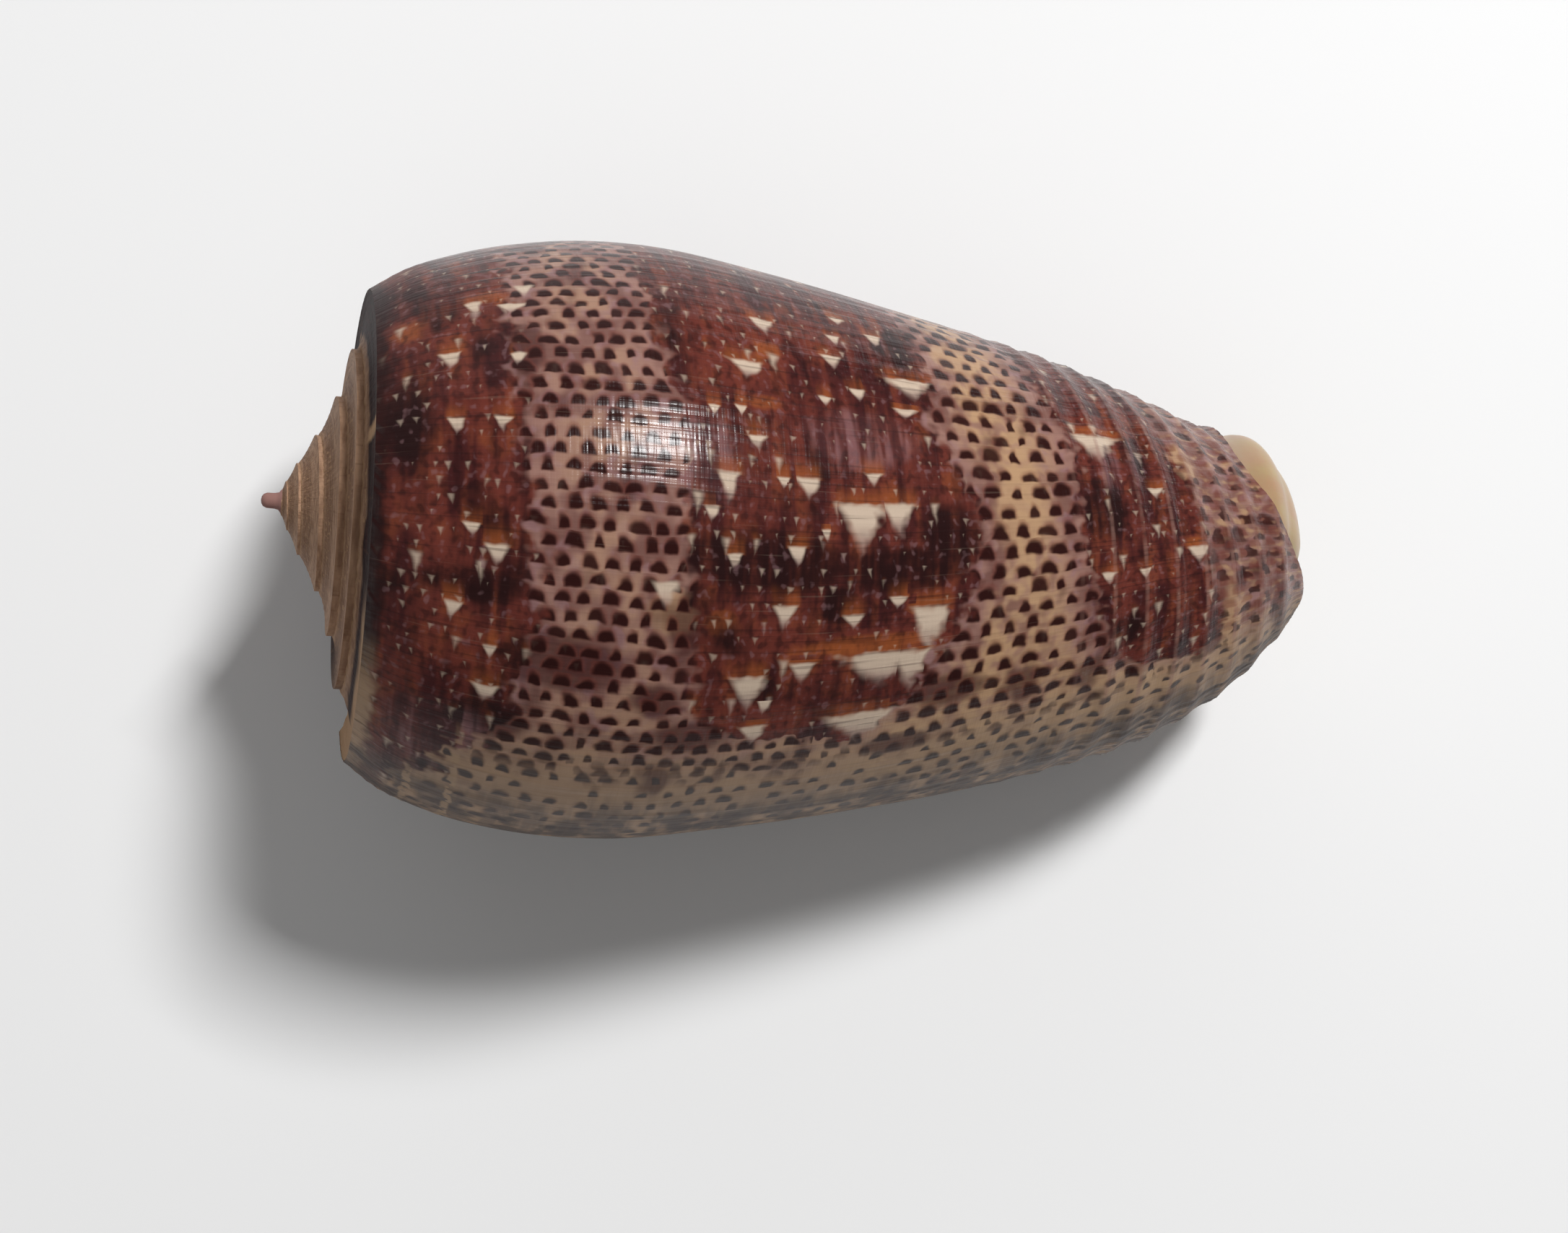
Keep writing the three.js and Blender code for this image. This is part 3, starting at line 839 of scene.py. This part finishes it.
def pattern_values(n):
    """What the layers of the pattern share: place, noises, bands and patches."""
    v = SimpleNamespace()
    first, v.age = growth_values(n)
    v.thread = n.times(first, UV_SCALE)
    length = n.times(v.age, TURN_LENGTH)
    flow = n.vector(v.thread, length)
    wave = n.minus(n.noise(flow, 0.22, 1.0), 0.5)
    v.small = n.minus(n.noise(flow, 1.1, 1.0), 0.5)
    v.tone = n.noise(flow, 0.45, 2.0)
    v.streak = n.stretched(v.thread, length, *STREAKS)
    v.patch = n.stretched(v.thread, length, *PATCHES)
    v.lines = n.stretched(v.thread, length, *GROWTH_LINES)
    v.striae = n.stretched(v.thread, length, *STRIAE)
    v.mottle = n.stretched(v.thread, length, *MOTTLING)
    uneven = n.minus(v.tone, 0.5)

    # The same place, moved a little for the dots, the tents and the zones
    v.dot_thread = n.plus(v.thread, n.plus(n.times(wave, 0.9), n.times(v.small, 0.5)))
    v.dot_age = n.plus(v.age, n.plus(n.times(wave, 0.006), n.times(v.small, 0.004)))
    v.tent_thread = n.plus(v.thread, n.times(v.small, 0.45))
    v.tent_age = n.plus(v.age, n.times(v.small, 0.003))
    v.zone_age = n.plus(v.age, n.times(uneven, 0.03))
    v.young = n.ramp(v.zone_age, -0.285, -0.215)

    # Placed patches
    paint = n.add("ShaderNodeVertexColor", {"layer_name": "patches"})
    warm, stained, lilac = n.add("ShaderNodeSeparateColor", Color=paint.outputs["Color"]).outputs
    v.ragged = n.times(n.plus(v.small, uneven), 0.7)
    v.warm = warm
    v.lilac = lilac
    v.cream = paint.outputs["Alpha"]
    v.stains = n.most(ragged_patch(n, stained, v.ragged), n.ramp(v.patch, 0.44, 0.3))

    # Light bands
    shift = n.plus(n.times(v.ragged, 2.0), n.times(v.small, 1.2))
    edge = (n.plus(v.dot_thread, shift), n.plus(v.dot_age, n.times(v.ragged, 0.02)))
    depth_a = band_depth(n, *edge, BAND_A_LEFT, BAND_A_RIGHT)
    depth_b = band_depth(n, *edge, BAND_B_LEFT, BAND_B_RIGHT)
    canal = n.ramp(band_depth(n, *edge, CANAL_BAND_LEFT), *BAND_EDGE)
    v.middle_a = n.ramp(depth_a, *BAND_MIDDLE)
    v.middle_b = n.ramp(depth_b, *BAND_MIDDLE)
    v.light_share = n.most(n.most(n.ramp(depth_a, *BAND_EDGE), n.ramp(depth_b, *BAND_EDGE)), canal)
    return v


def dark_ground(n, v):
    """Maroon and rust streaks, with warm and nearly black patches, and lilac that is partly painted
    sheen.
    """
    dark = n.mix(n.ramp(v.streak, 0.35, 0.65, 0, 0.8), MAROON, RUST)
    dark = n.mix(n.ramp(v.patch, 0.5, 0.68, 0, 0.55), dark, RUST)
    dark = n.mix(n.times(ragged_patch(n, v.warm, v.ragged), 0.75), dark, RUST)
    ember = n.times(n.ramp(v.streak, 0.4, 0.7), n.ramp(v.tone, 0.45, 0.62))
    dark = n.mix(n.times(ember, 0.3), dark, AMBER)
    dark = n.mix(n.times(n.ramp(n.plus(v.warm, v.ragged), 1.0, 2.0), 0.6), dark, AMBER)
    dark = n.mix(n.times(v.stains, n.ramp(v.streak, 0.7, 0.4, 0.55, 1.0)), dark, CHOCOLATE)
    dark = n.mix(n.ramp(v.mottle, 0.48, 0.7, 0, 0.55), dark, CHOCOLATE)
    dark = n.mix(n.ramp(v.mottle, 0.42, 0.26, 0, 0.3), dark, LILAC)
    column = n.absolute(n.minus(n.math("FRACT", n.over(v.tent_thread, COLUMN_PITCH)), 0.5))
    columns = n.times(n.ramp(column, 0.06, 0.2, 0.35, 0), n.ramp(v.tone, 0.35, 0.6))
    dark = n.mix(columns, dark, CHOCOLATE)
    # Lilac over the dark ground at those patches, partly painted sheen
    lilac_sheen_veil = n.times(ragged_patch(n, v.lilac, v.ragged), n.ramp(v.streak, 0.45, 0.62, 0.1, 0.8))
    return n.mix(n.times(lilac_sheen_veil, 0.55), dark, LILAC)


def light_ground(n, v):
    """Mauve, with blotches by the canal, cream in the bands' middles and sand near the lip."""
    light = n.mix(n.ramp(v.tone, 0.38, 0.6), MAUVE, BLUSH)
    light = n.mix(n.ramp(v.small, 0.02, 0.16, 0, 0.5), light, LILAC)
    by_canal = n.ramp(v.dot_thread, 49, 52)
    blotch = n.times(by_canal, n.ramp(n.plus(v.patch, v.ragged), 0.4, 0.7, 0.8, 0))
    light = n.mix(blotch, light, MAUVE)
    blotch = n.times(by_canal, n.ramp(n.minus(v.tone, v.ragged), 0.5, 0.7, 0, 0.7))
    light = n.mix(blotch, light, CREAM)
    cloud = n.ramp(n.plus(v.tone, v.small), 0.3, 0.65, 0.2, 0.95)
    light = n.mix(n.times(v.middle_b, cloud), light, CREAM)
    light = n.mix(n.times(v.middle_a, n.ramp(v.tone, 0.45, 0.6, 0.0, 0.35)), light, CREAM)
    light = n.mix(n.times(ragged_patch(n, v.cream, v.ragged), 0.7), light, CREAM)
    light = n.mix(n.times(v.young, 0.85), light, SAND)
    return n.mix(n.times(v.stains, 0.75), light, MAROON)


def dotted(n, v, light):
    """Rows of dots on the light ground, and the darker ground around each of them."""
    place = (v.dot_thread, v.dot_age)
    size_a = n.ramp(v.tone, 0.35, 0.65, 0.36, 0.28)
    size_b = n.ramp(v.tone, 0.35, 0.65, 0.34, 0.26)
    size_canal = n.ramp(v.small, -0.15, 0.15, 0.2, 0.38)
    size_lip = n.ramp(v.tone, 0.35, 0.6, 0.32, 0.2)
    dots_a, halo_a = use(n, DOTS, *place, *DOTS_A, size_a, 1.0)
    dots_b, halo_b = use(n, DOTS, *place, *DOTS_B, size_b, 1.0)
    dots_canal = use(n, DOTS, *place, *DOTS_CANAL, size_canal, 0.8)[0]
    sparse, sparse_halo = use(n, DOTS, *place, *DOTS_LIP, size_lip, 0.8)
    on_b = n.math("GREATER_THAN", v.thread, SECOND_BAND)
    off_b = n.minus(1.0, on_b)
    on_canal = n.math("GREATER_THAN", v.dot_thread, CANAL)
    coarse = n.times(n.times(dots_canal, on_canal), n.ramp(v.tone, 0.35, 0.6, 0.6, 0.9))
    dots = n.plus(n.times(dots_a, off_b), n.times(dots_b, on_b))
    dots = n.plus(n.times(dots, n.minus(1.0, on_canal)), coarse)
    halo = n.plus(n.times(halo_a, off_b), n.times(halo_b, on_b))
    light = n.mix(n.times(halo, n.ramp(v.young, 0, 1, 0.5, 0.0)), light, RUST)
    light = n.mix(n.times(dots, n.ramp(v.young, 0.6, 1.0, 0.98, 0.0)), light, DOT)
    light = n.mix(n.times(sparse_halo, n.ramp(v.young, 0.5, 0.9, 0.0, 0.5)), light, UMBER)
    return n.mix(n.times(sparse, n.ramp(v.young, 0.5, 0.9, 0.0, 0.95)), light, SLATE)


def with_tents(n, v, colour):
    """Pale tents, with amber above their flat side, and specks along the spiral."""
    place = (v.tent_thread, v.tent_age)
    unseen = n.most(n.ramp(v.age, -0.54, -0.6), n.ramp(v.age, -0.2, -0.16))
    specks = use(n, TENTS, *place, *SPECKS, 0.4)[0]
    small_tents, small_glow = use(n, TENTS, *place, *SMALL_TENTS, 0.4)
    large_tents, large_glow = use(n, TENTS, *place, *LARGE_TENTS, n.times(unseen, 0.6))
    tents = n.most(n.times(specks, 0.45), n.most(n.times(small_tents, 0.75), large_tents))
    glow = n.most(n.times(small_glow, 0.45), large_glow)
    quiet = n.minus(1.0, n.times(v.light_share, 0.95))
    tents = n.times(tents, quiet)

    # Placed tents, from the second UV map
    uv = n.add("ShaderNodeUVMap", {"uv_map": "tents"}).outputs[0]
    in_tent = n.add("ShaderNodeSeparateXYZ", Vector=uv).outputs
    side = n.absolute(n.plus(in_tent[0], n.times(v.small, 0.4)))
    down = n.plus(in_tent[1], n.times(v.small, 0.3))
    inside = n.minus(n.times(0.5, n.minus(1.0, down)), side)
    one = n.times(n.ramp(inside, -0.08, 0.16), n.ramp(down, -0.08, 0.12))
    tents = n.most(tents, n.times(one, n.ramp(down, 0.3, 1.1, 1.0, 0.3)))
    warm = n.times(n.ramp(side, 0.35, 0.7, 1, 0), n.ramp(down, -1.0, 0.0))
    glow = n.most(glow, n.times(warm, n.math("LESS_THAN", down, 0.1)))
    glow = n.times(n.times(glow, quiet), n.ramp(v.streak, 0.35, 0.6, 0.25, 0.65))
    colour = n.mix(glow, colour, AMBER)
    return n.mix(tents, colour, n.mix(n.ramp(down, 0.3, 1.0, 0, 0.6), PEARL, LILAC))


def with_crests(n, v, colour):
    """Lighter crests on the raised cords."""
    phase = n.math("FRACT", n.over(n.minus(v.thread, CORD_FIRST), CORD_PITCH))
    crest = n.ramp(n.absolute(n.minus(phase, 0.5)), 0.02, 0.1, 1, 0)
    share = n.times(n.ramp(v.thread, 43, 46), n.ramp(v.tone, 0.4, 0.6, 0.1, 0.45))
    return n.mix(n.times(crest, share), colour, BLUSH)


def with_edges(n, v, colour):
    """The rim next to the spire, dark and then sandy near the lip, the fine growth
    lines, and the grey, streaked stretch behind the lip, partly painted shade."""
    rim = n.ramp(n.plus(v.thread, v.small), 5.6, 6.3, 0.9, 0)
    colour = n.mix(rim, colour, n.mix(n.ramp(v.zone_age, -0.295, -0.25), CHOCOLATE, SAND))
    dark_lines = n.times(n.ramp(v.lines, 0.52, 0.72), n.ramp(v.light_share, 0, 1, 0.45, 0.12))
    dark_lines = n.times(dark_lines, n.ramp(v.age, -0.5, -0.525, 1.0, 1.8))
    colour = n.mix(dark_lines, colour, CHOCOLATE)
    colour = n.mix(n.ramp(v.lines, 0.36, 0.26, 0, 0.06), colour, PEARL)
    # Grey streaks and dark grey towards the lip: the shell's own streaks, with painted shade where the
    # body turns away from the lights
    streaks_and_shade = n.times(n.ramp(v.zone_age, -0.23, -0.18), n.ramp(v.streak, 0.35, 0.6, 0.1, 1.0))
    colour = n.mix(n.times(streaks_and_shade, 0.7), colour, SMOKE)
    streaks_and_shade = n.times(n.ramp(v.zone_age, -0.22, -0.17), n.ramp(v.tone, 0.42, 0.58))
    return n.mix(n.times(streaks_and_shade, 0.8), colour, SLATE)


def with_dashes(n, v, colour):
    """Rows of sandy dashes along the spiral near the lip."""
    beads = n.ramp(n.noise(n.vector(v.thread, n.times(v.age, DASHES_PER_TURN))), 0.42, 0.5)
    for line, start in DASHED_LINES:
        on_line = n.ramp(n.absolute(n.minus(v.tent_thread, line)), 0.12, 0.3, 1, 0)
        begun = n.ramp(v.age, start, start + DASH_TURNS, 0, 0.75)
        colour = n.mix(n.times(n.times(on_line, beads), begun), colour, SAND)
    return colour


def pattern_material():
    made, n, shader = material("patterned shell")
    v = pattern_values(n)
    colour = n.mix(v.light_share, dark_ground(n, v), dotted(n, v, light_ground(n, v)))
    for layer in (with_tents, with_crests, with_edges, with_dashes):
        colour = layer(n, v, colour)
    relief = n.plus(n.times(v.striae, 0.6), n.times(v.lines, 0.6))
    bump = n.add("ShaderNodeBump", Height=relief, Strength=0.65, Distance=0.00006)
    dull = n.most(n.ramp(v.zone_age, -0.3, -0.2), n.ramp(v.thread, 10, 6.5))
    roughness = n.plus(n.ramp(v.lines, 0.3, 0.7, 0.14, 0.26), n.times(dull, 0.25))
    n.feed(shader.inputs["Base Color"], colour)
    n.feed(shader.inputs["Roughness"], roughness)
    n.feed(shader.inputs["Normal"], bump.outputs[0])
    shader.inputs["Specular IOR Level"].default_value = PATTERN_GLOSS
    return made


# Noises of the spire: scale along the share and along the growth, seed, detail
SPIRE_FIBRES = (14.0, 0.5, 0.0, 3.0)
SPIRE_GRAINS = (9.0, 2.2, 0.0, 2.0)
SPIRE_LINES = (0.8, 3.0, 0.0, 2.0)
SPIRE_FLAMES = (0.7, 0.33, 0.0, 2.0)
SPIRE_TURN_LENGTH = 60.0

# A cream blotch on the shelf of the last whorl: turn, share
SHELF_BLOTCH = (-0.43, 0.42)


def spire_material():
    made, n, shader = material("spire")
    share, turn = growth_values(n)
    length = n.times(turn, SPIRE_TURN_LENGTH)
    fine = n.stretched(share, length, *SPIRE_FIBRES)
    grains = n.stretched(share, length, *SPIRE_GRAINS)
    lines = n.stretched(share, length, *SPIRE_LINES)
    flames = n.stretched(share, length, *SPIRE_FLAMES)

    # Older whorls: tan, with a strip of brown grains next to the suture
    old = n.mix(n.ramp(fine, 0.35, 0.7, 0, 0.5), TAN, UMBER)
    strip = n.times(n.ramp(share, 0.08, 0.14), n.ramp(share, 0.42, 0.56, 1, 0))
    old = n.mix(n.times(strip, 0.4), old, UMBER)
    old = n.mix(n.times(n.ramp(grains, 0.56, 0.66), n.ramp(strip, 0, 1, 0.15, 0.7)), old, CREAM)

    # Shelf of the last whorl: nearly black, with cream flames and a tan inner strip
    young = n.mix(n.ramp(fine, 0.45, 0.75, 0, 0.6), CHOCOLATE, MAROON)
    young = n.mix(n.ramp(flames, 0.66, 0.7, 0, 0.8), young, CREAM)
    near_turn = n.ramp(n.absolute(n.minus(turn, SHELF_BLOTCH[0])), 0.003, 0.009, 1, 0)
    near_share = n.ramp(n.absolute(n.minus(share, SHELF_BLOTCH[1])), 0.2, 0.36, 1, 0)
    young = n.mix(n.times(near_turn, near_share), young, CREAM)
    edge = n.plus(share, n.times(n.minus(flames, 0.5), 0.4))
    young = n.mix(n.ramp(edge, 0.14, 0.26, 0.9, 0), young, old)
    colour = n.mix(n.ramp(turn, -1.25, -1.0), old, young)
    colour = n.mix(n.ramp(lines, 0.55, 0.75, 0, 0.3), colour, UMBER)

    # Pale sutures, the cream channel behind the lip and the pink first whorl
    suture = n.times(n.ramp(share, 0.03, 0.08, 1, 0), n.ramp(grains, 0.35, 0.6, 0.15, 0.6))
    colour = n.mix(suture, colour, CREAM)
    channel = n.times(n.ramp(turn, -0.32, -0.27), n.ramp(edge, 0.3, 0.5))
    colour = n.mix(n.times(channel, 0.85), colour, CREAM)
    colour = n.mix(n.ramp(turn, -6.8, -6.3, 1, 0), colour, PINK)
    relief = n.plus(n.plus(fine, grains), lines)
    bump = n.add("ShaderNodeBump", Height=relief, Strength=0.5, Distance=0.0001)
    n.feed(shader.inputs["Base Color"], colour)
    n.feed(shader.inputs["Normal"], bump.outputs[0])
    shader.inputs["Roughness"].default_value = 0.5
    shader.inputs["Specular IOR Level"].default_value = SPIRE_GLOSS
    return made


def lining_material(name, colour, deep, stained):
    """Smooth, with folds along the growth, and a stain that fades over the range
    of the UV map that stained gives."""
    made, n, shader = material(name)
    first, turn = growth_values(n)
    flow = n.vector(n.times(first, 60.0), n.times(turn, 40.0))
    tone = n.noise(flow, 0.7, 3.0)
    fold = n.stretched(first, turn, 90.0, 2.0, 0.0, 2.0)
    base = n.mix(n.ramp(tone, 0.35, 0.7), colour, deep)
    base = n.mix(n.ramp(fold, 0.45, 0.65, 0, 0.35), base, TAN)
    base = n.mix(n.ramp(first, *stained, 0.6, 0.0), base, UMBER)
    bump = n.add("ShaderNodeBump", Height=n.noise(flow, 3.0, 2.0), Strength=0.15, Distance=0.00005)
    n.feed(shader.inputs["Base Color"], base)
    n.feed(shader.inputs["Normal"], bump.outputs[0])
    shader.inputs["Roughness"].default_value = 0.3
    shader.inputs["Subsurface Weight"].default_value = 0.15
    shader.inputs["Subsurface Scale"].default_value = 0.001
    return made


PATTERN = pattern_material()
SPIRE = spire_material()
LINING = lining_material("shell lining", PEARL, LILAC, (0.0, 0.07))
COLUMELLA = lining_material("columella", YOLK, CREAM, (0.5, 0.56))


# Pieces
def keep(piece):
    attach(piece, "root")
    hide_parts("shell")


INSIDE_DEPTH = 0.1
wall_across = SHELF_ACROSS + BODY_ACROSS
wall, wall_flat, wall_first, wall_age = slab("last_whorl", WALL_ALONG, wall_across, wall_shape)
spire = slab("spire", SPIRE_ALONG, SPIRE_ACROSS, spire_shape)[0]
core = slab("inner_whorls", CORE_ALONG, CORE_ACROSS, core_shape)[0]
callus = slab("columella_end", CALLUS_ALONG, CALLUS_ACROSS, callus_shape)[0]
nub = turned("first_whorl", NUB_OUTLINE, NUB_STEPS)
plug = turned("columella_tip", PLUG_OUTLINE, PLUG_STEPS)


def wall_faces(quads):
    """Surface of each of the wall's faces: 0 pattern, 1 shelf, 2 inside."""
    across = ((wall_flat[:, 1] + 1) / 2)[quads].mean(axis=1)
    inside = wall_flat[:, 2][quads].mean(axis=1) < -INSIDE_DEPTH
    return np.where(inside, 2, np.where(across < SHELF_ACROSS / wall_across, 1, 0))


assign(wall, [PATTERN, SPIRE, LINING], wall_faces)
paint_patches(wall, wall_first * UV_SCALE, wall_age)
paint_tents(wall, wall_first * UV_SCALE, wall_age)
for piece in (spire, nub):
    piece.data.materials.append(SPIRE)
for piece in (callus, plug):
    piece.data.materials.append(COLUMELLA)
core.data.materials.append(LINING)
for piece in (wall, spire, core, callus, nub, plug):
    keep(piece)


# Studio
FLOOR_SIZE = 1.2
FLOOR_COLOUR = (0.86, 0.86, 0.86, 1)
FLOOR_ROUGHNESS = 0.9


def floor():
    bm = bmesh.new()
    bmesh.ops.create_grid(bm, x_segments=1, y_segments=1, size=FLOOR_SIZE)
    made = placed("floor", mesh_from("floor", bm))
    paper, _, shader = material("floor")
    shader.inputs["Base Color"].default_value = FLOOR_COLOUR
    shader.inputs["Roughness"].default_value = FLOOR_ROUGHNESS
    made.data.materials.append(paper)


def area_light(name, place, target, width, height, power, mirrored):
    light = bpy.data.lights.new(name, "AREA")
    light.shape = "RECTANGLE"
    light.size = width
    light.size_y = height
    light.energy = power
    lamp = placed(name, light)
    lamp.location = place
    lamp.rotation_euler = (Vector(target) - Vector(place)).to_track_quat("-Z", "Y").to_euler()
    lamp.visible_glossy = mirrored


# Camera, from the fit of the shell's outline in the photo: the shell's turn and
# tilt as the camera sees them, and where the tip is seen from it
SEEN_ROLL = math.radians(44.96)
SEEN_PITCH = math.radians(14.32)
SEEN_SPIN = math.radians(3.77)
TIP_FROM_CAMERA = (27.11, -6.05, 117.5)
LENS = 52.05
SENSOR = 36.0
NEAREST = 0.005


def camera():
    seen = (
        Matrix.Rotation(-SEEN_SPIN, 4, "Z")
        @ Matrix.Rotation(SEEN_PITCH, 4, "Y")
        @ Matrix.Rotation(SEEN_ROLL, 4, "X")
    )
    pose = TO_ROW @ seen.inverted() @ Matrix.Translation(Vector(TIP_FROM_CAMERA))
    pose.translation = pose.translation * MM
    data = bpy.data.cameras.new("camera")
    data.lens = LENS
    data.sensor_width = SENSOR
    data.clip_start = NEAREST
    made = placed("camera", data)
    made.matrix_world = pose
    bpy.context.scene.camera = made
    return pose


view_pose = camera()
floor()

# Lights: direction along the camera's axes, distance, width, height, power, and
# whether gloss mirrors the light
CENTRE = Vector((0, 0, 0.015))
LIGHTS = {
    "key": ((0.39, 0.55, 0.74), 0.5, 0.08, 0.12, 2.4, True),
    "top": ((-0.2, 0.95, 0.1), 0.8, 0.9, 0.9, 1.0, True),
    "fill": ((-0.3, -0.5, 0.8), 0.8, 0.9, 0.9, 0.85, False),
}
WORLD_STRENGTH = 0.15

for name, (direction, distance, width, height, power, mirrored) in LIGHTS.items():
    place = CENTRE + (view_pose.to_3x3() @ Vector(direction).normalized()) * distance
    area_light(name, place, CENTRE, width, height, power, mirrored)
world = bpy.data.worlds.new("studio")
world.use_nodes = True
world.node_tree.nodes["Background"].inputs[0].default_value = (1, 1, 1, 1)
world.node_tree.nodes["Background"].inputs[1].default_value = WORLD_STRENGTH
bpy.context.scene.world = world
bpy.context.scene.view_settings.view_transform = "Standard"
